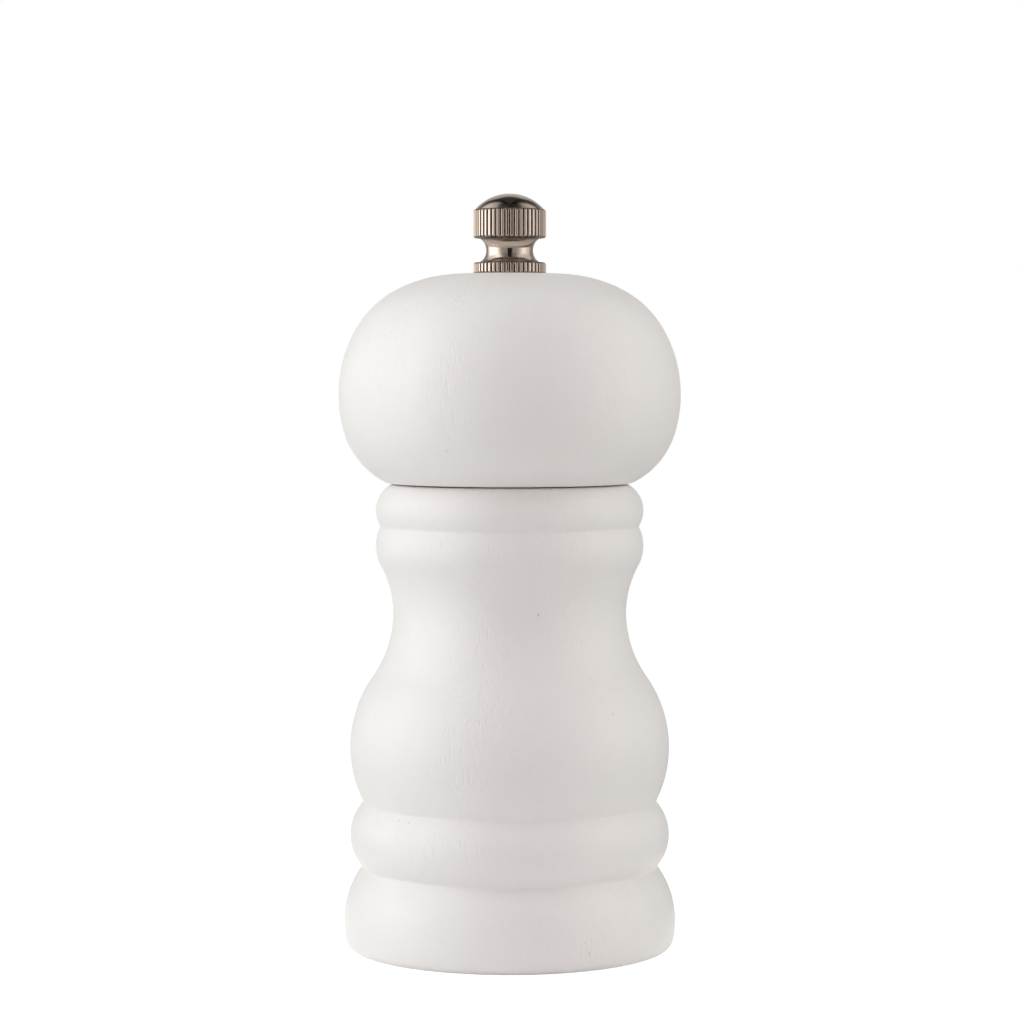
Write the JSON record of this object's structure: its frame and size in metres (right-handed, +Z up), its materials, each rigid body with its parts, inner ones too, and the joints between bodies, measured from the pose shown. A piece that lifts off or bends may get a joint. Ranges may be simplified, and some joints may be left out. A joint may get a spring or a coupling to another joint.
{
  "type": "salt and pepper mill",
  "caption": "Small turned wooden hand mill painted white: waisted body with beads, round head that turns the ceramic grinder, and a knurled metal knob that sets the grind.",
  "frame": {"origin": "middle of the foot, on the plane the mill stands on", "axes": "+Z up along the turning axis; the front of the picture looks along +Y, but the mill is the same all round"},
  "size_m": [0.058, 0.058, 0.128],
  "materials": {
    "painted_wood": "satin white paint over turned beech",
    "moulded_plastic": "fine matt, moulded",
    "ceramic": "matt, fired",
    "plated_steel": "bright zinc",
    "shaft_metal": "drawn",
    "nickel": "polished nickel, knurled rims"
  },
  "bodies": {
    "mill_base": {"mill_body": "painted_wood", "grinder_housing": "moulded_plastic", "housing_screws": "plated_steel", "stator_ring": "ceramic", "stator_retainer": "plated_steel", "shaft_bridge": "moulded_plastic"},
    "spring_carriage": {"bridge_bush": "moulded_plastic", "thrust_washer": "plated_steel", "spring": "plated_steel"},
    "shaft_assembly": {"shaft": "shaft_metal", "rotor": "ceramic", "rotor_core": "moulded_plastic", "rotor_washer": "plated_steel", "shaft_nut": "plated_steel"},
    "head_assembly": {"mill_head": "painted_wood", "drive_plate": "plated_steel", "drive_plate_screws": "plated_steel"},
    "adjusting_knob": {"knob": "nickel"}
  },
  "joints": [
    {"name": "grind_turn", "type": "hinge", "parent": "mill_base", "child": "spring_carriage", "pos_m": [0, 0, 0.0275], "axis": [0, 0, 1], "continuous": true},
    {"name": "grind_adjust", "type": "slide", "parent": "spring_carriage", "child": "shaft_assembly", "axis": [0, 0, 1], "range_m": [-0.0009, 0.0006], "deforming": ["spring"]},
    {"name": "head_lift", "type": "slide", "parent": "spring_carriage", "child": "head_assembly", "axis": [0, 0, 1], "range_m": [0, 0.056]},
    {"name": "knob_turn", "type": "hinge", "parent": "head_assembly", "child": "adjusting_knob", "pos_m": [0, 0, 0.12], "axis": [0, 0, 1], "range_deg": [-275, 410]}
  ],
  "couplings": [
    {"joint": "knob_turn", "follows": "grind_adjust", "rad_per_m": -7854}
  ]
}
